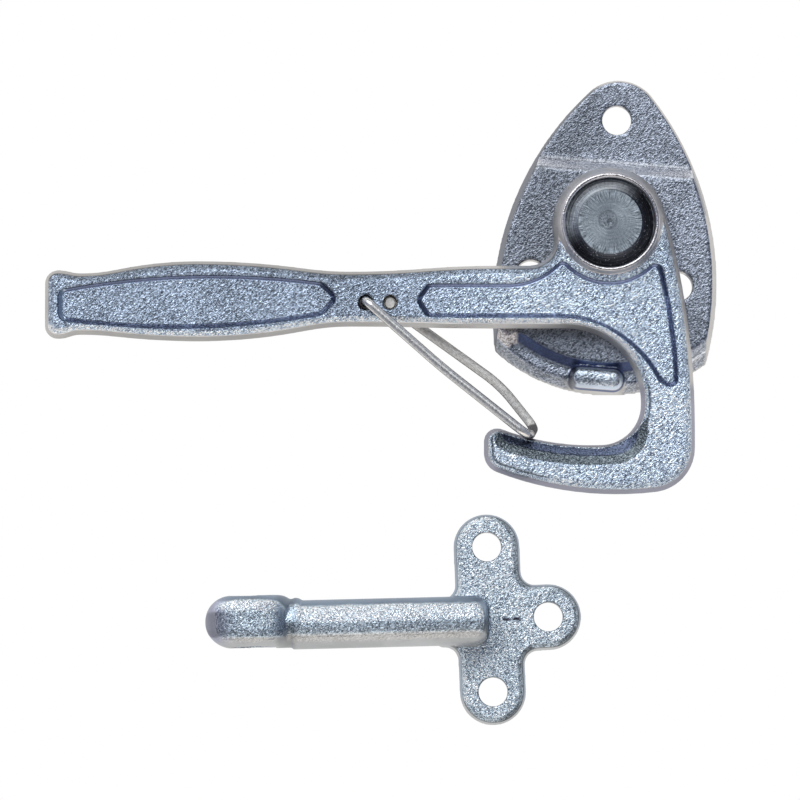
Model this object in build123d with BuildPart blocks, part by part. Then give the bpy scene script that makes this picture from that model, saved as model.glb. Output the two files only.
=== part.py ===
"""Lever hook latch for a vehicle side board or tailboard, with its keeper.

The row frame has its origin on the pivot axis at the mounting plane. X runs along the lever
towards the hook's heel, Y runs up the base plate towards its single bolt hole, and Z leaves the
mounting plane towards the user. The backs of the base plate and of the keeper lie on Z = 0.
"""

from math import atan, degrees, radians, sqrt, tan
import os

from build123d import *

os.makedirs("parts", exist_ok=True)

# Bolts, pivot and general clearances
bolt_hole_radius = 6.5
pivot_radius = 10.0
running_clearance = 0.08
seat_clearance = 0.05
face_gap = 0.3
forging_draft = 17.0

# Base plate, in its own frame, which is turned about the pivot
plate_turn = -4.6
plate_outline_x = 0.9
plate_half_width = 50.4
plate_side_radius = 137.0
plate_waist_y = -32.0
plate_apex_y = 67.0
plate_foot_radius = 76.0
foot_cut_allowance = 1.0
plate_corner_radius = 10.0
plate_side_draft = 14.0
plateau_z = 10.0
tab_z = 5.5
step_crest_y = 24.2
step_foot_y = 29.0
step_foot_fillet = 4.0
ledge_edge_radius = 61.5
ledge_foot_radius = 66.0
ledge_rim_radius = 71.0
ledge_half_angle = 34.5
ledge_corner_radius = 3.5
plate_hole_top_y = 48.3
plate_hole_low_x = 33.2
plate_hole_low_y = -24.5
lug_width = 27.0
lug_depth = 13.0
lug_centre_radius = 68.9
lug_top_z = 16.5
lug_corner_radius = 6.0
lug_draft = 10.0
lug_crown_fillet = 3.2

# Lever forging
arm_gap = 1.0
arm_thickness = 16.0
boss_radius = 25.7
boss_rise = 4.5
counterbore_radius = 20.1
counterbore_depth = 7.0
bore_rim_chamfer = 0.6
handle_slope = 1.37
handle_axis_y = -30.2
handle_end_x = -252.8
flare_x = -246.4
flare_half = 15.5
grip_neck_x = -236.6
grip_neck_half = 13.9
grip_belly_x = -184.0
grip_belly_half = 18.1
belly_share = 0.7
shank_neck_x = -116.0
shank_neck_top_y = -21.2
shank_neck_low_y = -46.1
shank_root_x = -50.0
shank_top_y = -18.5
handle_end_fillet = 6.0
shank_boss_fillet = 11.0
leg_inner_x = 13.8
leg_outer_x = 38.2
heel_level_y = -91.0
heel_radius = 20.2
hook_bottom_y = -121.2
hook_bottom_x = 3.0
hook_bottom_radius = 150.0
hook_inside_y = -99.0
hook_inside_x = -8.3
hook_inside_radius = 115.0
hook_tip_x = -56.4
hook_tip_fillet_inside = 6.0
hook_tip_fillet_outside = 9.0
throat_top_y = -47.0
throat_top_radius = 33.0
throat_corner_radius = 18.0
face_edge_width = 2.0
face_edge_drop = 1.7

# Slope along the hook's inner front edge
hook_bevel_depth = 4.0
hook_bevel_slope = 65.0
hook_bevel_tip_x = -45.0
hook_bevel_leg_x = 8.6
hook_bevel_top_y = -86.0
hook_bevel_leg_fillet = 7.0
hook_bevel_corner = 2.0

# Recessed panels on the lever's face
panel_depth = 1.7
panel_draft = 48.0
panel_drop = 0.6
grip_panel_start_x = -244.6
grip_panel_start_half = 5.6
grip_panel_belly_x = -186.0
grip_panel_belly_half = 10.4
grip_panel_end_x = -129.5
grip_panel_end_half = 6.0
grip_panel_point_x = -123.2
grip_panel_corner = 2.5
hub_panel_start_x = -84.5
hub_panel_shoulder_x = -80.5
hub_panel_top_y = -28.6
hub_panel_bottom_y = -40.8
hub_panel_rise_x = -45.0
hub_panel_peak_y = -17.8
hub_panel_bend_x = -24.0
hub_panel_point_x = 23.0
hub_panel_point_y = -69.5
hub_panel_tip_y = -73.5
hub_panel_boss_gap = 1.9
hub_panel_outer_rim = 9.0
hub_panel_corner = 1.8

# Gate wire and its two holes through the shank
wire_radius = 2.1
gate_hole_radius = 3.05
gate_hole_near_x = -109.1
gate_hole_pitch = 10.9
gate_hole_y = -35.5
gate_end_offset = 0.5
gate_leg_gap = 0.5
gate_end_depth = 2.0
gate_end_bend = 3.4
gate_front_bow = (-75.0, -65.0)
gate_bow_bend = 300.0
gate_tip_front = (-36.2, -95.8)
gate_tip_back = (-33.6, -90.7)
gate_tip_bend = 5.5
gate_knee = (-48.8, -71.6)
gate_knee_bend = 60.0

# Pivot rivet
rivet_head_radius = 19.5
rivet_flat_radius = 14.2
rivet_rim_height = 1.6
rivet_head_below_rim = 0.4
rivet_foot_radius = 13.0
rivet_foot_depth = 3.0
punch_radius = 1.6
punch_depth = 0.9

# Keeper, in its own frame, with its origin midway between its two outer bolt holes
keeper_x = -53.5
keeper_y = -176.6
keeper_turn = 2.5
keeper_hole_half_pitch = 32.5
keeper_hole_side_x = 26.2
keeper_lobe_radius = 14.9
keeper_plate_thickness = 9.0
keeper_plate_draft = 8.0
keeper_plan_fillet = 6.0
keeper_corner_margin = 1.0
keeper_edge_chamfer = 1.8
keeper_shank_turn = 1.4
keeper_shank_drop = 0.7
keeper_shank_radius = 10.95
keeper_tongue_x = -25.0
keeper_tongue_fillet = 4.0
keeper_root_start_x = -16.0
keeper_root_end_x = -1.0
keeper_root_base_z = 2.0
keeper_root_end_fillet = 6.0
keeper_root_foot_fillet = 1.5
keeper_foot_x = -11.0
keeper_eye_x = -107.0
keeper_eye_offset = 1.9
keeper_eye_reach = 20.2
keeper_eye_rise = 17.2
keeper_eye_hole_radius = 11.0
keeper_eye_half_width = 11.6
keeper_eye_round = 7.5
keeper_eye_nose = 12.3
keeper_neck_start_x = -98.0
keeper_neck_offset = 0.75
keeper_neck_radius = 10.9
keeper_neck_end_x = -88.4
keeper_collar_x = -86.6
keeper_collar_radius = 11.5
keeper_shank_start_x = -84.4

# Levels that follow from the sizes above
arm_under_z = plateau_z + arm_gap
arm_mid_z = arm_under_z + arm_thickness / 2
arm_face_z = arm_under_z + arm_thickness
boss_under_z = plateau_z + face_gap
boss_top_z = arm_face_z + boss_rise
counterbore_floor_z = boss_top_z - counterbore_depth


def handle_point(x, half):
    """A point of the handle's outline, a signed half width away from its sloping centre line."""
    return (x, handle_axis_y + x * tan(radians(handle_slope)) + half)


def arc_y(x, centre_x, low_y, radius):
    """The height of a wide arc's lower half at x, where low_y is its lowest point."""
    return low_y + radius - sqrt(radius**2 - (x - centre_x) ** 2)


# Base plate: an ogive with a low tab at the top, a plateau, a ledge along its foot and a stop lug
apex_reach = plate_apex_y - plate_waist_y
side_centre_x = plate_side_radius - plate_half_width
apex_radius = (plate_side_radius**2 - side_centre_x**2 - apex_reach**2) / (
    2 * (plate_side_radius - apex_reach)
)
plate_frame = Plane.XY.rotated((0, 0, plate_turn))
plate_section = Plane(
    origin=(0, 0, 0), x_dir=plate_frame.y_dir, z_dir=plate_frame.x_dir
)
plate_holes = (
    (0, plate_hole_top_y),
    (plate_hole_low_x, plate_hole_low_y),
    (-plate_hole_low_x, plate_hole_low_y),
)
foot_wall_slope = (plate_foot_radius - ledge_rim_radius) / tab_z
ledge_wall_angle = degrees(atan((ledge_foot_radius - ledge_edge_radius) / (plateau_z - tab_z)))

with BuildPart() as base_plate:
    with BuildSketch(plate_frame) as plate_outline:
        with Locations((plate_outline_x - side_centre_x, plate_waist_y)):
            Circle(plate_side_radius)
        with Locations((plate_outline_x + side_centre_x, plate_waist_y)):
            Circle(plate_side_radius, mode=Mode.INTERSECT)
        fillet(plate_outline.vertices().group_by(Axis.Y)[-1], apex_radius)
        Circle(plate_foot_radius + foot_cut_allowance, mode=Mode.INTERSECT)
        fillet(plate_outline.vertices().group_by(Axis.Y)[0], plate_corner_radius)
    extrude(amount=plateau_z, taper=plate_side_draft)
    # The slope from the plateau down to the tab
    with BuildSketch(plate_section) as step_section:
        with BuildLine():
            Polyline(
                (step_crest_y, plateau_z),
                (step_foot_y, tab_z),
                (2 * plate_apex_y, tab_z),
                (2 * plate_apex_y, 2 * plateau_z),
                (step_crest_y, 2 * plateau_z),
                close=True,
            )
        make_face()
        foot_corner = step_section.vertices().sort_by_distance((step_foot_y, tab_z, 0))[0]
        fillet(foot_corner, step_foot_fillet)
    extrude(amount=2 * plate_half_width, both=True, mode=Mode.SUBTRACT)
    # The outer wall along the foot is a cone about the pivot
    with BuildSketch(Plane.XZ) as foot_wall:
        with BuildLine():
            Polyline(
                (plate_foot_radius, 0),
                (plate_foot_radius - foot_wall_slope * 2 * plateau_z, 2 * plateau_z),
                (2 * plate_foot_radius, 2 * plateau_z),
                (2 * plate_foot_radius, 0),
                close=True,
            )
        make_face()
    revolve(axis=Axis.Z, mode=Mode.SUBTRACT)
    # The ledge below the plateau, with rounded ends
    with BuildSketch(plate_frame.offset(tab_z)) as ledge_outline:
        with BuildLine():
            ledge_start = Vector(0, -ledge_foot_radius).rotate(Axis.Z, -ledge_half_angle)
            ledge_end = Vector(0, -ledge_foot_radius).rotate(Axis.Z, ledge_half_angle)
            reach = 2 * plate_foot_radius / ledge_foot_radius
            ThreePointArc(ledge_start, (0, -ledge_foot_radius), ledge_end)
            Line(ledge_end, ledge_end * reach)
            Line(ledge_end * reach, ledge_start * reach)
            Line(ledge_start * reach, ledge_start)
        make_face()
        fillet(ledge_outline.vertices().group_by(Axis.Y)[-1], ledge_corner_radius)
    extrude(amount=2 * plateau_z, taper=-ledge_wall_angle, mode=Mode.SUBTRACT)
    # The stop lug that stands on the ledge
    with BuildSketch(plate_frame) as lug_outline:
        with Locations((0, -lug_centre_radius)):
            RectangleRounded(lug_width, lug_depth, lug_corner_radius)
    lug = extrude(amount=lug_top_z, taper=lug_draft)
    fillet(lug.faces().sort_by(Axis.Z)[-1].edges(), lug_crown_fillet)
    # Bolt holes and the hole for the pivot rivet, countersunk at the back for its foot
    with Locations(plate_frame):
        with Locations(*plate_holes):
            Cylinder(bolt_hole_radius, 3 * plateau_z, mode=Mode.SUBTRACT)
    Cylinder(pivot_radius + seat_clearance, 3 * plateau_z, mode=Mode.SUBTRACT)
    Cone(
        rivet_foot_radius + seat_clearance,
        pivot_radius + seat_clearance,
        rivet_foot_depth,
        align=(Align.CENTER, Align.CENTER, Align.MIN),
        mode=Mode.SUBTRACT,
    )
base_plate.part.label = "base_plate"
export_step(base_plate.part, "parts/base_plate.step")

# Lever: one forging with draft on both sides of its middle plane
edge_radius = (leg_outer_x**2 + heel_level_y**2 - boss_radius**2) / (
    2 * (leg_outer_x - boss_radius)
)
edge_centre = Vector(leg_outer_x - edge_radius, heel_level_y)
edge_start = edge_centre + (Vector(0, 0) - edge_centre).normalized() * edge_radius
edge_middle = edge_centre + (
    (edge_start + Vector(leg_outer_x, heel_level_y)) / 2 - edge_centre
).normalized() * edge_radius


def hook_bottom(x):
    return (x, arc_y(x, hook_bottom_x, hook_bottom_y, hook_bottom_radius))


def hook_inside(x):
    return (x, arc_y(x, hook_inside_x, hook_inside_y, hook_inside_radius))


lower_stations = (
    (shank_root_x, throat_top_y),
    (shank_neck_x, shank_neck_low_y),
    handle_point(grip_belly_x, -grip_belly_half),
    handle_point(grip_neck_x, -grip_neck_half),
    handle_point(flare_x, -flare_half),
)
upper_stations = (
    handle_point(flare_x, flare_half),
    handle_point(grip_neck_x, grip_neck_half),
    handle_point(grip_belly_x, grip_belly_half),
    (shank_neck_x, shank_neck_top_y),
    (shank_root_x, shank_top_y),
)
draft_slope = tan(radians(forging_draft))
panel_boss_radius = boss_radius + hub_panel_boss_gap
panel_peak = (-sqrt(panel_boss_radius**2 - hub_panel_peak_y**2), hub_panel_peak_y)
panel_side_radius = edge_radius - hub_panel_outer_rim


def panel_point(x, half):
    """A point of the grip's panel, which sits a little below the handle's centre line."""
    return (x, handle_point(x, half)[1] - panel_drop)


def panel_side(y):
    """A point of the hub panel's long side, which runs along the lever's outer edge."""
    return (edge_centre.X + sqrt(panel_side_radius**2 - (y - edge_centre.Y) ** 2), y)


panel_far_peak = (-panel_peak[0], hub_panel_peak_y)
lever_corners = (
    ((-boss_radius, shank_top_y, 0), shank_boss_fillet),
    ((leg_inner_x, throat_top_y, 0), throat_top_radius),
    ((*hook_inside(leg_inner_x), 0), throat_corner_radius),
    ((*hook_bottom(leg_outer_x), 0), heel_radius),
    ((*hook_inside(hook_tip_x), 0), hook_tip_fillet_inside),
    ((*hook_bottom(hook_tip_x), 0), hook_tip_fillet_outside),
    ((handle_end_x, upper_stations[0][1], 0), handle_end_fillet),
    ((handle_end_x, lower_stations[-1][1], 0), handle_end_fillet),
)


def s_curve(start, end):
    """Two arcs that join two level stretches of outline smoothly, the larger one on the belly."""
    share = 0.5
    if start[0] == grip_belly_x:
        share = belly_share
    if end[0] == grip_belly_x:
        share = 1 - belly_share
    middle = Vector(*start) * (1 - share) + Vector(*end) * share
    level = Vector(1, 0) if end[0] > start[0] else Vector(-1, 0)
    TangentArc(start, middle, tangent=level)
    TangentArc(end, middle, tangent=-level)


def raised(outline, level, inset):
    """An outline at a level, moved in by the given amount."""
    with BuildSketch(Plane.XY.offset(level)) as section:
        add(outline.sketch)
        if inset:
            offset(amount=-inset)
    return section.sketch


with BuildSketch() as lever_outline:
    with BuildLine():
        ThreePointArc(edge_start, edge_middle, (leg_outer_x, heel_level_y))
        Line((leg_outer_x, heel_level_y), hook_bottom(leg_outer_x))
        ThreePointArc(
            hook_bottom(leg_outer_x), hook_bottom(hook_bottom_x), hook_bottom(hook_tip_x)
        )
        Line(hook_bottom(hook_tip_x), hook_inside(hook_tip_x))
        ThreePointArc(
            hook_inside(hook_tip_x), hook_inside(hook_inside_x), hook_inside(leg_inner_x)
        )
        Line(hook_inside(leg_inner_x), (leg_inner_x, throat_top_y))
        Line((leg_inner_x, throat_top_y), lower_stations[0])
        for start, end in zip(lower_stations[:-1], lower_stations[1:]):
            s_curve(start, end)
        Polyline(
            lower_stations[-1],
            (handle_end_x, lower_stations[-1][1]),
            (handle_end_x, upper_stations[0][1]),
            upper_stations[0],
        )
        for start, end in zip(upper_stations[:-1], upper_stations[1:]):
            s_curve(start, end)
        Polyline(upper_stations[-1], (0, shank_top_y), (0, 0), edge_start)
    make_face()
    Circle(boss_radius)
    for corner, corner_radius in lever_corners:
        fillet(lever_outline.vertices().sort_by_distance(corner)[0], corner_radius)

with BuildSketch() as grip_panel:
    with BuildLine():
        for sign in (1, -1):
            ThreePointArc(
                panel_point(grip_panel_start_x, sign * grip_panel_start_half),
                panel_point(grip_panel_belly_x, sign * grip_panel_belly_half),
                panel_point(grip_panel_end_x, sign * grip_panel_end_half),
            )
            Line(
                panel_point(grip_panel_end_x, sign * grip_panel_end_half),
                panel_point(grip_panel_point_x, 0),
            )
        Line(
            panel_point(grip_panel_start_x, grip_panel_start_half),
            panel_point(grip_panel_start_x, -grip_panel_start_half),
        )
    make_face()
    fillet(grip_panel.vertices(), grip_panel_corner)

with BuildSketch() as hub_panel:
    with BuildLine():
        Polyline(
            (hub_panel_bend_x, hub_panel_bottom_y),
            (hub_panel_shoulder_x, hub_panel_bottom_y),
            (hub_panel_start_x, (hub_panel_bottom_y + hub_panel_top_y) / 2),
            (hub_panel_shoulder_x, hub_panel_top_y),
            (hub_panel_rise_x, hub_panel_top_y),
        )
        TangentArc((hub_panel_rise_x, hub_panel_top_y), panel_peak, tangent=(1, 0))
        ThreePointArc(panel_peak, (0, -panel_boss_radius), panel_far_peak)
        ThreePointArc(
            panel_far_peak, panel_side(hub_panel_point_y / 2), panel_side(hub_panel_tip_y)
        )
        Line(panel_side(hub_panel_tip_y), (hub_panel_point_x, hub_panel_point_y))
        TangentArc(
            (hub_panel_bend_x, hub_panel_bottom_y),
            (hub_panel_point_x, hub_panel_point_y),
            tangent=(1, 0),
        )
    make_face()
    smooth_joins = (hub_panel_bend_x, hub_panel_rise_x)
    fillet(
        [corner for corner in hub_panel.vertices() if round(corner.X, 3) not in smooth_joins],
        hub_panel_corner,
    )

# The hook's inner front edge slopes away, so that it slides through the eye
bevel_floor_z = arm_face_z - hook_bevel_depth
bevel_floor_inset = (bevel_floor_z - arm_mid_z) * draft_slope


def bevel_floor(x):
    """A point of the slope's lower edge, on the hook's inner wall."""
    return (x, hook_inside(x)[1] - bevel_floor_inset)


with BuildSketch() as hook_bevel:
    with BuildLine():
        ThreePointArc(
            bevel_floor(hook_bevel_tip_x), bevel_floor(hook_inside_x), bevel_floor(hook_bevel_leg_x)
        )
        Polyline(
            bevel_floor(hook_bevel_leg_x),
            (hook_bevel_leg_x, hook_bevel_top_y),
            (hook_bevel_tip_x, hook_bevel_top_y),
            bevel_floor(hook_bevel_tip_x),
        )
    make_face()
    leg_corner = hook_bevel.vertices().sort_by_distance((*bevel_floor(hook_bevel_leg_x), 0))[0]
    fillet(leg_corner, hook_bevel_leg_fillet)
    other_corners = [
        corner
        for corner in hook_bevel.vertices()
        if abs(corner.Y - hook_bevel_top_y) < seat_clearance
        or abs(corner.X - hook_bevel_tip_x) < seat_clearance
    ]
    fillet(other_corners, hook_bevel_corner)


def lever_section(level, edge_inset=0.0):
    """The lever's outline at a level, drawn in by its draft and by an inset for its edge."""
    return raised(lever_outline, level, abs(level - arm_mid_z) * draft_slope + edge_inset)


def recess(outline, floor_z, depth, slope):
    """Cuts a recess whose walls rise outwards from an outline on its floor."""
    with BuildPart(mode=Mode.PRIVATE) as tool:
        loft(
            [
                raised(outline, floor_z, 0),
                raised(outline, floor_z + 2 * depth, -2 * depth * tan(radians(slope))),
            ],
            ruled=True,
        )
    add(tool.part, mode=Mode.SUBTRACT)


with BuildPart() as lever:
    loft(
        [
            lever_section(arm_under_z),
            lever_section(arm_mid_z),
            lever_section(arm_face_z - face_edge_drop),
            lever_section(arm_face_z, face_edge_width),
        ],
        ruled=True,
    )
    # The boss around the pivot, bored for the rivet's shank and counterbored for its head
    with BuildSketch(Plane.XZ):
        with BuildLine():
            Polyline(
                (0, boss_under_z),
                (boss_radius - (arm_mid_z - boss_under_z) * draft_slope, boss_under_z),
                (boss_radius, arm_mid_z),
                (boss_radius - (boss_top_z - arm_mid_z) * draft_slope, boss_top_z),
                (0, boss_top_z),
                close=True,
            )
        make_face()
    revolve(axis=Axis.Z)
    with BuildSketch(Plane.XY.offset(boss_top_z)):
        Circle(counterbore_radius)
    extrude(amount=-counterbore_depth, mode=Mode.SUBTRACT)
    bore_rim = lever.edges().filter_by(GeomType.CIRCLE).group_by(Axis.Z)[-1].sort_by(SortBy.RADIUS)[0]
    chamfer(bore_rim, bore_rim_chamfer)
    Cylinder(pivot_radius + running_clearance, 3 * boss_top_z, mode=Mode.SUBTRACT)
    # Panels recessed in the face and the slope along the hook's inner edge
    for panel in (grip_panel, hub_panel):
        recess(panel, arm_face_z - panel_depth, panel_depth, panel_draft)
    recess(hook_bevel, bevel_floor_z, hook_bevel_depth, hook_bevel_slope)
    # The two holes that the gate wire's ends turn in
    with Locations(
        (gate_hole_near_x, gate_hole_y), (gate_hole_near_x + gate_hole_pitch, gate_hole_y)
    ):
        Cylinder(gate_hole_radius, 3 * arm_face_z, mode=Mode.SUBTRACT)
lever.part.label = "lever"
export_step(lever.part, "parts/lever.step")

# Gate wire: one bent wire whose legs pass in front of the shank and behind it
leg_front_z = arm_face_z + gate_leg_gap + wire_radius
leg_back_z = arm_under_z - gate_leg_gap - wire_radius
near_end = (gate_hole_near_x, gate_hole_y + gate_end_offset)
far_end = (gate_hole_near_x + gate_hole_pitch, gate_hole_y - gate_end_offset)

with BuildPart() as gate_wire:
    with BuildLine() as gate_path:
        FilletPolyline(
            (*near_end, arm_under_z + gate_end_depth),
            (*near_end, leg_front_z),
            (*gate_front_bow, leg_front_z),
            (*gate_tip_front, leg_front_z),
            (*gate_tip_back, leg_back_z),
            (*gate_knee, leg_back_z),
            (*far_end, leg_back_z),
            (*far_end, arm_face_z - gate_end_depth),
            radius=(
                gate_end_bend,
                gate_bow_bend,
                gate_tip_bend,
                gate_tip_bend,
                gate_knee_bend,
                gate_end_bend,
            ),
        )
    with BuildSketch(gate_path.line ^ 0):
        Circle(wire_radius)
    sweep()
gate_wire.part.label = "gate_wire"
export_step(gate_wire.part, "parts/gate_wire.step")

# Pivot rivet: countersunk foot, shank and a head with a cone round its flat top
head_seat_z = counterbore_floor_z + face_gap
head_top_z = boss_top_z - rivet_head_below_rim

with BuildPart() as pivot_rivet:
    with BuildSketch(Plane.XZ):
        with BuildLine():
            Polyline(
                (0, 0),
                (rivet_foot_radius, 0),
                (pivot_radius, rivet_foot_depth),
                (pivot_radius, head_seat_z),
                (rivet_head_radius, head_seat_z),
                (rivet_head_radius, head_seat_z + rivet_rim_height),
                (rivet_flat_radius, head_top_z),
                (punch_radius, head_top_z),
                (0, head_top_z - punch_depth),
                close=True,
            )
        make_face()
    revolve(axis=Axis.Z)
pivot_rivet.part.label = "pivot_rivet"
export_step(pivot_rivet.part, "parts/pivot_rivet.step")

# Keeper: a three-lobed plate and a shank that ends in an eye, which takes the hook
keeper_frame = Plane(origin=(keeper_x, keeper_y, 0)).rotated((0, 0, keeper_turn))
shank_frame = Plane(
    origin=keeper_frame.from_local_coords((0, -keeper_shank_drop, arm_mid_z))
).rotated((0, 0, keeper_shank_turn))
shank_section = Plane(origin=shank_frame.origin, x_dir=shank_frame.y_dir, z_dir=shank_frame.x_dir)
shank_profile = Plane(
    origin=shank_frame.origin, x_dir=shank_frame.x_dir, z_dir=-shank_frame.y_dir
)
eye_section = Plane(
    origin=shank_frame.from_local_coords((keeper_eye_x, keeper_eye_offset, 0)),
    x_dir=shank_frame.x_dir,
    z_dir=shank_frame.z_dir,
)
neck_profile = shank_profile.offset(-keeper_neck_offset)
keeper_holes = (
    (0, keeper_hole_half_pitch),
    (keeper_hole_side_x, 0),
    (0, -keeper_hole_half_pitch),
)

with BuildPart() as eye_and_shank:
    # Eye ring, oval from the side, set a little to one side of the shank and rounded at its nose
    with BuildSketch(shank_profile.offset(-keeper_eye_offset)):
        with Locations((keeper_eye_x, 0)):
            Ellipse(keeper_eye_reach, keeper_eye_rise)
    extrude(amount=keeper_eye_half_width, both=True)
    fillet(eye_and_shank.edges().filter_by(GeomType.ELLIPSE), keeper_eye_round)
    with BuildSketch(shank_frame):
        with Locations((keeper_eye_x - keeper_eye_reach + keeper_eye_nose, keeper_eye_offset)):
            Ellipse(keeper_eye_nose, keeper_eye_half_width + seat_clearance)
            Rectangle(
                2 * keeper_eye_reach,
                2 * (keeper_eye_half_width + seat_clearance),
                align=(Align.MIN, Align.CENTER),
            )
    extrude(amount=2 * keeper_eye_reach, both=True, mode=Mode.INTERSECT)
    # Neck with its collar, between the eye and the shank
    with BuildSketch(neck_profile):
        with BuildLine():
            Polyline(
                (keeper_neck_start_x, 0),
                (keeper_neck_start_x, keeper_neck_radius),
                (keeper_neck_end_x, keeper_neck_radius),
                (keeper_collar_x, keeper_collar_radius),
                (keeper_shank_start_x, keeper_neck_radius),
                (keeper_shank_start_x, 0),
                close=True,
            )
        make_face()
    revolve(axis=Axis(neck_profile.origin, shank_frame.x_dir))
    # Round shank
    with BuildSketch(shank_section.offset(keeper_neck_end_x)):
        Circle(keeper_shank_radius)
    extrude(amount=keeper_root_start_x - keeper_neck_end_x)
    # The eye's hole, across the shank and parallel to the mounting plane
    with Locations(eye_section):
        Cylinder(
            keeper_eye_hole_radius,
            4 * keeper_eye_half_width,
            rotation=(90, 0, 0),
            mode=Mode.SUBTRACT,
        )

with BuildPart() as shank_ridge:
    with BuildSketch(shank_section.offset(keeper_root_start_x)):
        Circle(keeper_shank_radius)
        Rectangle(
            2 * keeper_shank_radius,
            arm_mid_z - keeper_root_base_z,
            align=(Align.CENTER, Align.MAX),
        )
    extrude(amount=keeper_root_end_x - keeper_root_start_x)
    ridge_end = shank_ridge.faces().sort_by(Axis(shank_frame.origin, shank_frame.x_dir))[-1]
    fillet(ridge_end.edges(), keeper_root_end_fillet)

with BuildPart() as keeper:
    with BuildSketch(keeper_frame) as keeper_outline:
        with Locations(*keeper_holes):
            Circle(keeper_lobe_radius)
        Rectangle(2 * keeper_lobe_radius, 2 * keeper_hole_half_pitch)
        Rectangle(
            keeper_hole_side_x,
            2 * keeper_lobe_radius,
            align=(Align.MIN, Align.CENTER),
        )
        with Locations((0, -keeper_shank_drop)):
            Rectangle(
                -keeper_tongue_x,
                2 * keeper_shank_radius,
                align=(Align.MAX, Align.CENTER),
            )
        inner_corners = [
            corner
            for corner in keeper_outline.vertices()
            if abs(abs(corner.X) - keeper_lobe_radius) < seat_clearance
            and abs(corner.Y) < keeper_hole_half_pitch - keeper_corner_margin
        ]
        fillet(inner_corners, keeper_plan_fillet)
        fillet(keeper_outline.vertices().group_by(Axis.X)[0], keeper_tongue_fillet)
    extrude(amount=keeper_plate_thickness, taper=keeper_plate_draft)
    chamfer(keeper.faces().sort_by(Axis.Z)[-1].edges(), keeper_edge_chamfer)
    add(shank_ridge.part)
    ridge_foot = [
        edge
        for edge in keeper.edges().filter_by_position(
            Axis.Z,
            keeper_plate_thickness - seat_clearance,
            keeper_plate_thickness + seat_clearance,
        )
        if abs(shank_frame.to_local_coords(edge.center()).Y) < keeper_shank_radius + seat_clearance
        and keeper_foot_x < shank_frame.to_local_coords(edge.center()).X < 0
    ]
    fillet(ridge_foot, keeper_root_foot_fillet)
    add(eye_and_shank.part)
    with Locations(keeper_frame):
        with Locations(*keeper_holes):
            Cylinder(bolt_hole_radius, 3 * keeper_plate_thickness, mode=Mode.SUBTRACT)
keeper.part.label = "keeper"
export_step(keeper.part, "parts/keeper.step")
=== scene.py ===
"""Lever hook latch with its keeper, dressed for a render in the frame of its CAD model."""

import math

import bpy
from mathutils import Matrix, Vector

MM = 0.001

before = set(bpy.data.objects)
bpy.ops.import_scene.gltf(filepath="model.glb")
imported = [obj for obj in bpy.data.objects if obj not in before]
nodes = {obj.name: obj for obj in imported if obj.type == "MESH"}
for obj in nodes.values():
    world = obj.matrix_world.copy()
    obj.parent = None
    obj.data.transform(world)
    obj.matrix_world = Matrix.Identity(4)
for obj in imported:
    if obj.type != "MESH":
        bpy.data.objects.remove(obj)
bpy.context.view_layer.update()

# Camera
CAMERA_ELEVATION = 86.5
CAMERA_DISTANCE = 3.0
CAMERA_CLIP = (0.05, 30.0)
SENSOR_MM = 36.0
PIXEL_MM = 0.45
IMAGE_PIXELS = 800
PIVOT_PIXEL = (608.4, 227.64)
VERTICAL_MM = 0.4508

# Floor in millimetres, with the patch under the two gate holes, which the shank keeps dark
FLOOR_REACH = 3000.0
FLOOR_LEVEL = -0.5
FLOOR_NEAR = 9.0
FLOOR_FAR = 60.0
FLOOR_OPEN_NEAR = (0.6, 0.9)
FLOOR_CLOSED_FAR = (0.55, 0.75)
SHANK_SHADOW = {"x": (-114.5, -93.0, 2.5), "y": (-40.0, -31.0, 2.5)}
WHITE = (1.0, 1.0, 1.0, 1.0)
SHADOW_COLOUR = (0.01, 0.01, 0.012, 1.0)
FLOOR_COLOUR = (0.8, 0.8, 0.8, 1.0)

# The room as the metal sees it: each layer's direction, inner and outer angle in degrees, and colour
ROOM_COLOUR = (0.26, 0.29, 0.36, 1.0)
ROOM_LAYERS = (
    ((0.0, -1.0, 0.10), 25, 46, (1.25, 1.20, 1.14)),
    ((1.0, 0.0, 0.10), 20, 48, (0.16, 0.19, 0.27)),
    ((-1.0, 0.0, 0.12), 16, 45, (0.13, 0.16, 0.26)),
    ((0.0, -0.30, 1.0), 14, 38, (0.07, 0.08, 0.10)),
    ((-0.25, 0.70, 0.80), 19, 36, (2.6, 2.7, 2.8)),
    ((0.0, 1.0, 0.02), 16, 34, (0.10, 0.12, 0.17)),
)

# Softening of the forged edges
FORGING_VOXELS = {"lever": 0.74, "base_plate": 0.6, "keeper": 0.5}
FORGING_SMOOTHING = {"lever": 3, "base_plate": 8, "keeper": 4}
SMOOTHING_FACTOR = 0.5

# Where smooth noise has most of its values
NOISE_SPAN = (0.3, 0.7)

# Grain of the forgings: its strokes are as wide as GRAIN_MM, and its pits a little longer than wide
GRAIN_MM = 0.85
PIT_STRETCH = 1.3
PIT_LEAN = 20.0
PIT_SHARE = 0.6
STROKE_GRAIN = {"scale": 1.0, "detail": 2.0, "roughness": 0.62, "distortion": 0.5}
PIT_GRAIN = {"scale": 1.25, "detail": 1.0, "roughness": 0.5}
SPECK_FROM = (0.58, 1.02)
SPECK_SPREAD = 0.6

# Patches of tone, and the wandering border between grained faces and smooth walls
PATCH_NOISE = {"scale": 45.0, "detail": 4.0, "roughness": 0.55}
TINT_SPREAD = 0.14
PATCH_ROUGHNESS = 0.2
BORDER_NOISE = {"scale": 160.0, "detail": 3.0}
BORDER_WANDER = 0.2
WALL_HEIGHT = 0.05
WALL_ROUGHNESS = 0.42
# Walls that face away take a painted shade over this range of the normal's y
FAR_WALL_FROM = (-0.6, 0.1)
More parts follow.
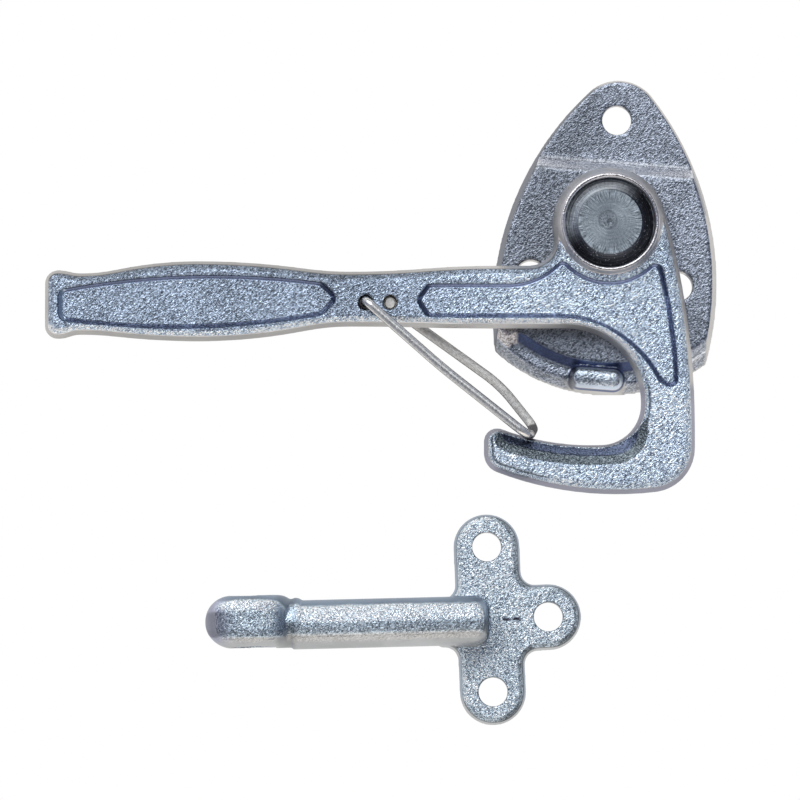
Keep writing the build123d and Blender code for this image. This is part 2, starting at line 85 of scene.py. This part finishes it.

# Narrow grooves, in painted shade and less grained
GROOVE_SHADE_COLOUR = (0.12, 0.15, 0.24, 1.0)
GROOVE_REACH = 1.8
GROOVE_OPENNESS = (0.45, 0.85)
GROOVE_GRAIN = 0.25
GROOVE_GRAIN_FROM = (0.1, 0.8)

# Gate wire
WIRE_NOISE = {"scale": 700.0, "detail": 3.0}
WIRE_DARK = (0.76, 0.73, 0.68, 1.0)
WIRE_PALE = (0.98, 0.95, 0.90, 1.0)
WIRE_SIDE_SHADE = (0.16, 0.15, 0.15, 1.0)
WIRE_SIDE_FACING = (0.30, 0.62)
WIRE_BACK_BELOW = (25.2 * MM, 25.8 * MM)
WIRE_BACK_ROUGHNESS = 0.5
WIRE_LINES = (0.2, 0.8)
WIRE_ROUGHNESS = (0.22, 0.32)

# Riveted head, with radii from its axis or from the middle of its centre mark
HEAD_FLAT_EDGE = (13.9 * MM, 14.5 * MM)
HEAD_SPOKES_FROM = (8.0 * MM, 13.5 * MM)
HEAD_LIT_SIDE = (-0.6, 0.8)
HEAD_LIT_REACH = 12.0 * MM
HEAD_MARK_AT = (-1.0 * MM, 1.0 * MM)
HEAD_MARK_RING = (3.2 * MM, 3.9 * MM, 4.7 * MM)
HEAD_MARK_MIDDLE = (3.6 * MM, 4.0 * MM)
HEAD_MARK_DUST = (0.5, 0.62)
HEAD_MARK_WEAR = (0.5, 0.8)
HEAD_SPOKES_TURN = 9.0
HEAD_SPOKES_OUT = 110.0
HEAD_RINGS_TURN = 0.35
HEAD_RINGS_OUT = 1500.0
HEAD_RINGS_SPAN = (0.35, 0.65)
SPOKES_IN_AND_OUT = (0.15, 0.7)
SPOKES_ON_CONE_AND_FLAT = (0.25, 1.0)
RINGS_ON_CONE_AND_FLAT = (0.45, 0.1)
HEAD_SPOKES_BUMP = 2.0
HEAD_RINGS_BUMP = 0.3
HEAD_ROUGHNESS = (0.36, 0.5)
SPOKE_NOISE = {"scale": 2.4, "detail": 3.0, "roughness": 0.7}
RING_NOISE = {"scale": 1.0, "detail": 2.0, "roughness": 0.6}
DUST_NOISE = {"scale": 1100.0, "detail": 2.0, "roughness": 0.7}
HEAD_DISC = (0.34, 0.38, 0.41, 1.0)
HEAD_WORN = (0.13, 0.14, 0.15, 1.0)
HEAD_CONE_SHADE = (0.07, 0.075, 0.09, 1.0)
HEAD_CONE_LIT = (0.68, 0.72, 0.75, 1.0)
HEAD_GLINT = (0.6, 0.64, 0.68, 1.0)
HEAD_GLINT_FROM = (0.62, 0.70)


class Nodes:
    """Short calls for building one node tree."""

    def __init__(self, tree):
        self.tree = tree
        tree.nodes.clear()

    def add(self, kind, **values):
        node = self.tree.nodes.new(kind)
        for key, value in values.items():
            setattr(node, key, value)
        return node

    def link(self, source, target):
        self.tree.links.new(source, target)

    def feed(self, socket, value):
        if isinstance(value, bpy.types.NodeSocket):
            self.link(value, socket)
        else:
            socket.default_value = value

    def math(self, operation, a, b=0.0, clamp=False):
        node = self.add("ShaderNodeMath", operation=operation, use_clamp=clamp)
        for socket, value in zip(node.inputs, (a, b)):
            self.feed(socket, value)
        return node.outputs[0]

    def ramp(self, value, low, high, to_low=0.0, to_high=1.0, smooth=True):
        node = self.add("ShaderNodeMapRange", clamp=True)
        if smooth:
            node.interpolation_type = "SMOOTHSTEP"
        for name, item in (
            ("Value", value),
            ("From Min", low),
            ("From Max", high),
            ("To Min", to_low),
            ("To Max", to_high),
        ):
            self.feed(node.inputs[name], item)
        return node.outputs[0]

    def blend(self, factor, at_none, at_full):
        """A value that runs straight from one end to the other as the factor goes from 0 to 1."""
        return self.ramp(factor, 0.0, 1.0, at_none, at_full, smooth=False)

    def mix(self, factor, a, b):
        node = self.add("ShaderNodeMix", data_type="RGBA", clamp_factor=True)
        self.feed(node.inputs[0], factor)
        self.feed(node.inputs[6], a)
        self.feed(node.inputs[7], b)
        return node.outputs[2]

    def noise(self, vector, scale, detail=2.0, roughness=0.5, distortion=0.0):
        node = self.add("ShaderNodeTexNoise")
        self.link(vector, node.inputs["Vector"])
        self.feed(node.inputs["Scale"], scale)
        self.feed(node.inputs["Detail"], detail)
        self.feed(node.inputs["Roughness"], roughness)
        self.feed(node.inputs["Distortion"], distortion)
        return node.outputs["Fac"]

    def split(self, vector):
        node = self.add("ShaderNodeSeparateXYZ")
        self.link(vector, node.inputs[0])
        return node.outputs

    def join(self, x, y):
        node = self.add("ShaderNodeCombineXYZ")
        self.link(x, node.inputs[0])
        self.link(y, node.inputs[1])
        return node.outputs[0]

    def distance(self, x, y):
        across = self.math("MULTIPLY", x, x)
        along = self.math("MULTIPLY", y, y)
        return self.math("SQRT", self.math("ADD", across, along))

    def scale(self, colour, factor):
        node = self.add("ShaderNodeVectorMath", operation="SCALE")
        self.link(colour, node.inputs[0])
        self.link(factor, node.inputs["Scale"])
        return node.outputs[0]

    def output(self, surface, kind="ShaderNodeOutputMaterial"):
        out = self.add(kind)
        self.link(surface.outputs[0], out.inputs[0])

    def metal(self, colour, roughness, height, depth_mm=1.0, strength=1.0, metallic=1.0):
        """Ends the tree with a metal whose bumps follow the height."""
        bump = self.add("ShaderNodeBump")
        bump.inputs["Strength"].default_value = strength
        bump.inputs["Distance"].default_value = depth_mm * MM
        self.link(height, bump.inputs["Height"])
        shader = self.add("ShaderNodeBsdfPrincipled")
        shader.inputs["Metallic"].default_value = metallic
        self.link(colour, shader.inputs["Base Color"])
        self.link(roughness, shader.inputs["Roughness"])
        self.link(bump.outputs[0], shader.inputs["Normal"])
        self.output(shader)


def material(name):
    made = bpy.data.materials.new(name)
    made.use_nodes = True
    return made, Nodes(made.node_tree)


def openness(n, reach_mm, samples=8, only_local=True):
    """How open a spot is, from 0 where it is closed in to 1 on an open face."""
    shade = n.add("ShaderNodeAmbientOcclusion", samples=samples, only_local=only_local)
    shade.inputs["Distance"].default_value = reach_mm * MM
    return shade.outputs["AO"]


def strokes(n, place, width_mm, length_mm, lean_degrees=45.0):
    """Coordinates stretched along one slanting direction, for a grain of short strokes."""
    turn = n.add("ShaderNodeVectorRotate", rotation_type="Z_AXIS")
    n.link(place, turn.inputs["Vector"])
    turn.inputs["Angle"].default_value = -math.radians(lean_degrees)
    stretch = n.add("ShaderNodeVectorMath", operation="MULTIPLY")
    n.link(turn.outputs[0], stretch.inputs[0])
    across = 1.0 / (width_mm * MM)
    stretch.inputs[1].default_value = (1.0 / (length_mm * MM), across, across)
    return stretch.outputs[0]


def in_millimetres(n, place, axes):
    """The named coordinates of a place, in millimetres."""
    return {axis.lower(): n.math("MULTIPLY", place[axis], 1.0 / MM) for axis in axes}


def zone_mask(n, measures, limits):
    """1 where every named measure lies between its low and high limit, fading over its softness."""
    inside = 1.0
    for name, (low, high, softness) in limits.items():
        value = measures[name]
        above = n.ramp(value, low - softness, low + softness)
        below = n.ramp(value, high - softness, high + softness, 1.0, 0.0)
        inside = n.math("MULTIPLY", inside, n.math("MULTIPLY", above, below))
    return inside


def forged_zinc(
    name,
    face_colour,
    wall_colour,
    far_wall_shade=None,
    grain_length=1.9,
    grain_height=0.75,
    roughness=0.27,
    grained_from=(0.5, 0.74),
    zones=(),
):
    """Zinc plate over a shot-blasted forging: grained on the faces, smoother on the drafted walls."""
    made, n = material(name)
    place = n.add("ShaderNodeTexCoord")
    spot = place.outputs["Object"]
    facing = n.split(place.outputs["Normal"])
    measures = in_millimetres(n, n.split(spot), "XYZ")
    measures["radius"] = n.distance(measures["x"], measures["y"])
    measures["facing_x"] = facing["X"]
    measures["facing_y"] = facing["Y"]
    measures["facing_up"] = facing["Z"]
    wander = n.math("SUBTRACT", n.noise(spot, **BORDER_NOISE), 0.5)
    upright = n.math("ADD", n.math("ABSOLUTE", facing["Z"]), n.math("MULTIPLY", wander, BORDER_WANDER))
    faced = n.ramp(upright, *grained_from)
    open_spot = n.ramp(openness(n, GROOVE_REACH), *GROOVE_OPENNESS)
    masks = [zone_mask(n, measures, zone["limits"]) for zone in zones]

    slanted = strokes(n, spot, GRAIN_MM, grain_length)
    crossed = strokes(n, spot, GRAIN_MM, GRAIN_MM * PIT_STRETCH, PIT_LEAN)
    pits = n.math("MULTIPLY", n.noise(crossed, **PIT_GRAIN), PIT_SHARE)
    grain = n.math("ADD", n.noise(slanted, **STROKE_GRAIN), pits)
    lively = n.math("MULTIPLY", faced, n.ramp(open_spot, *GROOVE_GRAIN_FROM, GROOVE_GRAIN, 1.0))
    for zone, mask in zip(zones, masks):
        if "grain" in zone:
            lively = n.math("MULTIPLY", lively, n.blend(mask, 1.0, zone["grain"]))

    patch = n.noise(spot, **PATCH_NOISE)
    tone = n.ramp(patch, *NOISE_SPAN, 1.0 - TINT_SPREAD, 1.0 + TINT_SPREAD)
    wall = (*wall_colour, 1.0)
    # Painted shade on walls that face away
    if far_wall_shade:
        wall = n.mix(n.ramp(facing["Y"], *FAR_WALL_FROM), wall, (*far_wall_shade, 1.0))
    colour = n.mix(faced, wall, (*face_colour, 1.0))
    # Painted shade where a spot is closed in, as in grooves
    colour = n.mix(open_spot, GROOVE_SHADE_COLOUR, colour)
    for zone, mask in zip(zones, masks):
        if "colour" in zone:
            colour = n.mix(mask, colour, (*zone["colour"], 1.0))
        if "tone" in zone:
            tone = n.math("MULTIPLY", tone, n.blend(mask, 1.0, zone["tone"]))
    speck = n.ramp(grain, *SPECK_FROM, -SPECK_SPREAD, SPECK_SPREAD)
    speck = n.math("ADD", n.math("MULTIPLY", speck, lively), 1.0)

    colour = n.scale(colour, n.math("MULTIPLY", tone, speck))

    height = n.math("MULTIPLY", grain, n.blend(lively, WALL_HEIGHT, grain_height))
    uneven = n.math("MULTIPLY", n.math("SUBTRACT", patch, 0.5), PATCH_ROUGHNESS)
    rough = n.math("ADD", n.blend(faced, WALL_ROUGHNESS, roughness), uneven, clamp=True)
    n.metal(colour, rough, height)
    return made


def bright_wire(name):
    """Drawn wire, polished in front, with fine lines, and painted shade where it faces sideways."""
    made, n = material(name)
    place = n.add("ShaderNodeTexCoord")
    facing = n.split(place.outputs["Normal"])
    at = n.split(place.outputs["Object"])
    fine = n.noise(place.outputs["Object"], **WIRE_NOISE)
    drawn = n.mix(n.ramp(fine, *NOISE_SPAN), WIRE_DARK, WIRE_PALE)
    colour = n.mix(n.ramp(facing["Z"], *WIRE_SIDE_FACING), WIRE_SIDE_SHADE, drawn)
    back_leg = n.ramp(at["Z"], *WIRE_BACK_BELOW, WIRE_BACK_ROUGHNESS, 0.0)
    rough = n.math("ADD", back_leg, n.ramp(fine, *WIRE_LINES, *WIRE_ROUGHNESS))
    n.metal(colour, rough, fine, depth_mm=0.05, strength=0.5, metallic=0.8)
    return made


def turned_rivet(name):
    """Riveted head: a flat with a worn centre mark, a cone round it in painted shade and light, radial
    strokes and fine rings.
    """
    made, n = material(name)
    spot = n.add("ShaderNodeTexCoord").outputs["Object"]
    at = n.split(spot)
    x, y = at["X"], at["Y"]
    radius = n.distance(x, y)
    angle = n.math("ARCTAN2", y, x)
    spokes = n.join(n.math("MULTIPLY", angle, HEAD_SPOKES_TURN), n.math("MULTIPLY", radius, HEAD_SPOKES_OUT))
    rings = n.join(n.math("MULTIPLY", radius, HEAD_RINGS_OUT), n.math("MULTIPLY", angle, HEAD_RINGS_TURN))
    radial = n.noise(spokes, **SPOKE_NOISE)
    turned = n.noise(rings, **RING_NOISE)
    dust = n.noise(spot, **DUST_NOISE)
    flat = n.ramp(radius, *HEAD_FLAT_EDGE, 1.0, 0.0)

    # The cone: painted light on one side, painted shade on the other, with painted glints
    side_x, side_y = HEAD_LIT_SIDE
    towards_light = n.math("ADD", n.math("MULTIPLY", y, side_y), n.math("MULTIPLY", x, side_x))
    cone = n.mix(n.ramp(towards_light, 0.0, HEAD_LIT_REACH), HEAD_CONE_SHADE, HEAD_CONE_LIT)
    cone = n.mix(n.ramp(dust, *HEAD_GLINT_FROM), cone, HEAD_GLINT)

    mark_x, mark_y = HEAD_MARK_AT
    seat = n.distance(n.math("SUBTRACT", x, mark_x), n.math("SUBTRACT", y, mark_y))
    inner, crest, outer = HEAD_MARK_RING
    ring_mark = n.math("MULTIPLY", n.ramp(seat, inner, crest), n.ramp(seat, crest, outer, 1.0, 0.0))
    middle = n.math("MULTIPLY", n.ramp(seat, *HEAD_MARK_MIDDLE, 1.0, 0.0), n.ramp(dust, *HEAD_MARK_DUST))
    ring_wear, middle_wear = HEAD_MARK_WEAR
    ring_mark = n.math("MULTIPLY", ring_mark, ring_wear)
    worn = n.math("MAXIMUM", ring_mark, n.math("MULTIPLY", middle, middle_wear))
    colour = n.mix(flat, cone, n.mix(worn, HEAD_DISC, HEAD_WORN))

    edge = n.ramp(radius, *HEAD_SPOKES_FROM)
    outwards = n.ramp(edge, 0.0, 1.0, *SPOKES_IN_AND_OUT)
    spoke_depth = n.math("MULTIPLY", outwards, n.ramp(flat, 0.0, 1.0, *SPOKES_ON_CONE_AND_FLAT))
    ring_depth = n.ramp(flat, 0.0, 1.0, *RINGS_ON_CONE_AND_FLAT)
    spoke = n.math("MULTIPLY", n.ramp(radial, *NOISE_SPAN, -1.0, 1.0), spoke_depth)
    ring = n.math("MULTIPLY", n.ramp(turned, *HEAD_RINGS_SPAN, -1.0, 1.0), ring_depth)
    shade = n.math("MULTIPLY", n.math("ADD", spoke, 1.0), n.math("ADD", ring, 1.0))

    ring_bump = n.math("MULTIPLY", turned, HEAD_RINGS_BUMP)
    spoke_bump = n.math("MULTIPLY", radial, HEAD_SPOKES_BUMP)
    height = n.math("ADD", n.math("ADD", ring_bump, spoke_bump), dust)
    rough = n.ramp(radial, *NOISE_SPAN, *HEAD_ROUGHNESS)
    n.metal(n.scale(colour, shade), rough, height, depth_mm=0.12, strength=0.8)
    return made


def within(*limits, **change):
    """One zone: the limits that bound it, and the colour, tone or grain that it has there."""
    joined = {}
    for part in limits:
        joined |= part
    return {"limits": joined, **change}


FACE_BLUE = (0.61, 0.71, 0.85)
WALL_TAN = (0.58, 0.56, 0.54)
WALL_BLUE = (0.27, 0.33, 0.41)
KEEPER_FACE = (0.78, 0.90, 1.0)
KEEPER_WALL = (0.47, 0.475, 0.48)
PLATE_FACE = (0.37, 0.40, 0.46)

# Limits are low end, high end and softness: of a place in millimetres, or of a part of the normal
HANDLE_AXIS_Y = -33.0
groove_lit = {"colour": (0.19, 0.23, 0.37), "grain": 0.15}
groove_shaded = {"colour": (0.14, 0.17, 0.26), "grain": 0.6}
panel_wall = {"z": (25.2, 26.4, 0.15), "facing_up": (0.55, 0.955, 0.03)}
wide_wall = {"z": (25.2, 26.8, 0.2), "facing_up": (0.55, 0.955, 0.03)}
above_axis = {"y": (HANDLE_AXIS_Y, 40.0, 0.5)}
below_axis = {"y": (-77.0, HANDLE_AXIS_Y, 0.5)}
faces_down = {"facing_y": (-1.1, -0.06, 0.05)}
faces_up = {"facing_y": (0.12, 1.1, 0.06)}
faces_left = {"facing_x": (-1.1, -0.2, 0.08)}
faces_right = {"facing_x": (0.2, 1.1, 0.08)}
outer_edge = {"z": (24.6, 26.75, 0.2), "facing_up": (0.42, 0.975, 0.03)}
hook_slope = {"y": (-114.0, -72.0, 0.5), "x": (-60.0, 22.0, 2.0), "facing_up": (0.84, 0.96, 0.02)}
lever_zones = (
    # Painted light falloff: the grip darker, the hook's arm and heel brighter
    within({"x": (-250.0, -85.0, 30.0)}, tone=0.68),
    within({"y": (-130.0, -84.0, 6.0), "x": (-60.0, 12.0, 8.0)}, tone=1.1),
    within({"y": (-110.0, -72.0, 6.0), "x": (12.0, 60.0, 8.0)}, tone=1.2),
    # Lines along the panels' walls, in painted shade and painted light by the way each wall faces
    within(panel_wall, above_axis, faces_down, **groove_lit),
    within(wide_wall, below_axis, faces_up, **groove_shaded),
    within(wide_wall, {"x": (20.0, 60.0, 1.0), "y": (-77.0, -8.0, 1.0)}, faces_left, **groove_shaded),
    within(wide_wall, {"x": (-134.0, -116.0, 1.0)}, faces_left, **groove_shaded),
    within(wide_wall, {"x": (-94.0, -76.0, 1.0), "y": (-42.0, -24.0, 1.0)}, faces_right, **groove_shaded),
    within(wide_wall, {"x": (-250.0, -230.0, 1.0)}, faces_right, colour=(0.62, 0.74, 0.88), grain=0.15),
    # Outer edges of the face, in painted shade above and painted highlight below
    within(outer_edge, above_axis, faces_up, tone=0.55),
    within(outer_edge, {"y": (-62.0, HANDLE_AXIS_Y, 0.5)}, faces_down, tone=2.0),
    # Painted shade on the slope along the hook's inner edge, and on the hook's side walls
    within(hook_slope, {"z": (22.0, 24.9, 0.2)}, colour=(0.075, 0.09, 0.135), grain=0.35),
    within(hook_slope, {"z": (24.9, 26.8, 0.2)}, colour=(0.16, 0.185, 0.20), grain=0.7),
    within({"y": (-140.0, -72.0, 3.0), "facing_up": (-1.1, 0.5, 0.1)}, colour=(0.27, 0.27, 0.33)),
    # Side and rim of the boss
    within({"radius": (19.0, 31.0, 0.4), "z": (27.4, 40.0, 0.3)}, colour=(0.66, 0.63, 0.63), grain=0.12),
)
step_slope = {"z": (5.6, 9.95, 0.15), "y": (5.0, 60.0, 1.0)}
foot = {"y": (-80.0, -40.0, 4.0)}
plate_zones = (
    # Darker left half
    within({"x": (-70.0, -5.0, 12.0), "facing_up": (0.8, 1.1, 0.05)}, tone=0.74),
    # Slope down to the ledge in painted shade, painted light at its left end and on the ledge
    within(
        {"x": (-52.0, -41.0, 0.8), "y": (-57.0, -46.0, 1.0), "z": (5.8, 10.4, 0.3)},
        colour=(0.8, 0.74, 0.73),
    ),
    within(
        {"z": (6.0, 9.8, 0.3)},
        foot,
        {"x": (-41.0, 24.0, 1.0), "facing_up": (-0.2, 0.95, 0.04)},
        colour=(0.10, 0.13, 0.24),
        grain=0.3,
    ),
    within({"z": (4.9, 5.9, 0.2)}, foot, {"facing_up": (0.6, 1.1, 0.1)}, tone=1.6),
    # Slope between plateau and tab: painted shade in its gentle part, painted light in its steep part
    within(step_slope, {"facing_y": (0.10, 0.55, 0.06)}, colour=(0.34, 0.35, 0.38), grain=0.6),
    within(step_slope, {"facing_y": (0.55, 1.1, 0.06)}, colour=(0.80, 0.81, 0.86), grain=0.5),
    # Stop lug in painted light, and painted shade on the side walls that face left
    within({"z": (10.6, 20.0, 0.3)}, colour=(0.62, 0.69, 0.78)),
    within({"facing_x": (-1.1, -0.5, 0.15), "facing_up": (-1.0, 0.6, 0.1)}, colour=(0.16, 0.17, 0.20)),
)
MARK_WIDTH = 3.4
MARK_DEPTH = 1.5


def keeper_mark(left, low):
    """A small dark mark on the keeper's plate."""
    return within(
        {"x": (left, left + MARK_WIDTH, 0.6), "y": (low, low + MARK_DEPTH, 0.5), "z": (8.0, 9.8, 0.2)},
        colour=(0.05, 0.05, 0.07),
    )


above_plate = {"z": (9.6, 60.0, 0.8)}
plate_edge = {"z": (-1.0, 9.2, 0.3)}
keeper_zones = (
    # Painted shade on the shank and the eye where they turn away, and in the neck between them
    within(above_plate, {"facing_y": (-1.1, -0.42, 0.08)}, colour=KEEPER_WALL, grain=0.3),
    within(above_plate, {"facing_y": (-0.40, 0.02, 0.07)}, tone=0.55),
    within(above_plate, {"facing_x": (-1.1, -0.5, 0.3)}, colour=(0.45, 0.46, 0.56), grain=0.3),
    within({"x": (-148.5, -140.5, 1.5)}, above_plate, tone=0.72, grain=0.35),
    # Painted light on the upper sides of the eye and the shank
    within({"x": (-176.0, -150.0, 3.0), "z": (22.0, 60.0, 2.0), "facing_y": (0.08, 0.66, 0.12)}, tone=1.45),
    within({"x": (-140.0, -50.0, 2.0)}, above_plate, {"facing_y": (0.1, 0.72, 0.08)}, tone=1.35),
    # Two marks on the plate, and painted shade on the plate's edges to the right and below
    keeper_mark(-47.8, -177.4),
    keeper_mark(-43.4, -177.2),
    within(plate_edge, {"facing_x": (0.2, 1.1, 0.1), "facing_up": (0.2, 0.97, 0.02)}, tone=0.5),
    within(plate_edge, {"facing_y": (-1.1, -0.25, 0.1), "facing_up": (0.3, 0.97, 0.02)}, tone=0.6),
)
finishes = {
    "lever": forged_zinc("lever_zinc", FACE_BLUE, WALL_TAN, zones=lever_zones),
    "keeper": forged_zinc(
        "keeper_zinc",
        KEEPER_FACE,
        KEEPER_WALL,
        far_wall_shade=WALL_BLUE,
        grained_from=(0.60, 0.74),
        grain_length=1.2,
        zones=keeper_zones,
    ),
    "base_plate": forged_zinc(
        "plate_zinc",
        PLATE_FACE,
        WALL_TAN,
        grain_length=1.5,
        grain_height=0.26,
        roughness=0.34,
        zones=plate_zones,
    ),
    "gate_wire": bright_wire("gate_steel"),
    "pivot_rivet": turned_rivet("rivet_steel"),
}

for name, finish in finishes.items():
    node = nodes[name]
    for material_slot in node.material_slots:
        material_slot.material = finish

for name, voxel in FORGING_VOXELS.items():
    node = nodes[name]
    remesh = node.modifiers.new("soft_skin", "REMESH")
    remesh.mode = "VOXEL"
    remesh.voxel_size = voxel * MM
    remesh.use_smooth_shade = True
    smooth = node.modifiers.new("soft_edges", "SMOOTH")
    smooth.factor = SMOOTHING_FACTOR
    smooth.iterations = FORGING_SMOOTHING[name]


def floor():
    """A pale floor, plain white to the camera and in reflections, dark under the gate holes."""
    mesh = bpy.data.meshes.new("floor")
    reach = FLOOR_REACH * MM
    level = FLOOR_LEVEL * MM
    corners = [(-reach, -reach, level), (reach, -reach, level), (reach, reach, level), (-reach, reach, level)]
    mesh.from_pydata(corners, [], [(0, 1, 2, 3)])
    ground = bpy.data.objects.new("floor", mesh)
    bpy.context.scene.collection.objects.link(ground)
    made, n = material("floor_white")
    at = n.split(n.add("ShaderNodeTexCoord").outputs["Object"])
    open_near = n.ramp(openness(n, FLOOR_NEAR, samples=4, only_local=False), *FLOOR_OPEN_NEAR)
    closed_far = n.ramp(openness(n, FLOOR_FAR, only_local=False), *FLOOR_CLOSED_FAR, 1.0, 0.0)
    patch = zone_mask(n, in_millimetres(n, at, "XY"), SHANK_SHADOW)
    shaded = n.math("MULTIPLY", n.math("MULTIPLY", open_near, closed_far), patch)
    glow = n.add("ShaderNodeEmission")
    glow.inputs["Strength"].default_value = 1.0
    n.link(n.mix(shaded, WHITE, SHADOW_COLOUR), glow.inputs["Color"])
    diffuse = n.add("ShaderNodeBsdfDiffuse")
    diffuse.inputs["Color"].default_value = FLOOR_COLOUR
    seen = n.add("ShaderNodeLightPath")
    mix = n.add("ShaderNodeMixShader")
    n.link(n.math("MAXIMUM", seen.outputs["Is Camera Ray"], seen.outputs["Is Glossy Ray"]), mix.inputs[0])
    n.link(diffuse.outputs[0], mix.inputs[1])
    n.link(glow.outputs[0], mix.inputs[2])
    n.output(mix)
    mesh.materials.append(made)


def studio():
    """The room as the metal sees it: bright up behind and low in front, darker overhead and at the sides."""
    world = bpy.data.worlds.new("studio")
    world.use_nodes = True
    bpy.context.scene.world = world
    n = Nodes(world.node_tree)
    direction = n.add("ShaderNodeVectorMath", operation="NORMALIZE")
    n.link(n.add("ShaderNodeTexCoord").outputs["Generated"], direction.inputs[0])
    room = ROOM_COLOUR
    for towards, inner, outer, colour in ROOM_LAYERS:
        dot = n.add("ShaderNodeVectorMath", operation="DOT_PRODUCT")
        n.link(direction.outputs[0], dot.inputs[0])
        dot.inputs[1].default_value = Vector(towards).normalized()
        border = (math.cos(math.radians(angle)) for angle in (outer, inner))
        room = n.mix(n.ramp(dot.outputs["Value"], *border), room, (*colour, 1.0))
    seen = n.add("ShaderNodeLightPath")
    background = n.add("ShaderNodeBackground")
    n.link(n.mix(seen.outputs["Is Camera Ray"], room, WHITE), background.inputs[0])
    n.output(background, "ShaderNodeOutputWorld")


def camera():
    """Nearly parallel view from above, tilted towards the foot of the picture."""
    tilt = math.radians(CAMERA_ELEVATION)
    middle = IMAGE_PIXELS / 2
    target = Vector(
        (
            (middle - PIVOT_PIXEL[0]) * PIXEL_MM * MM,
            (PIVOT_PIXEL[1] - middle) * VERTICAL_MM * MM,
            0.0,
        )
    )
    away = Vector((0.0, -math.cos(tilt), math.sin(tilt)))
    data = bpy.data.cameras.new("camera")
    data.sensor_width = SENSOR_MM
    data.sensor_height = SENSOR_MM
    data.sensor_fit = "HORIZONTAL"
    data.lens = SENSOR_MM * CAMERA_DISTANCE / (IMAGE_PIXELS * PIXEL_MM * MM)
    data.clip_start, data.clip_end = CAMERA_CLIP
    seat = bpy.data.objects.new("camera", data)
    bpy.context.scene.collection.objects.link(seat)
    seat.location = target + away * CAMERA_DISTANCE
    seat.rotation_euler = (-away).to_track_quat("-Z", "Y").to_euler()
    bpy.context.scene.camera = seat


floor()
studio()
camera()
bpy.context.scene.view_settings.view_transform = "Standard"
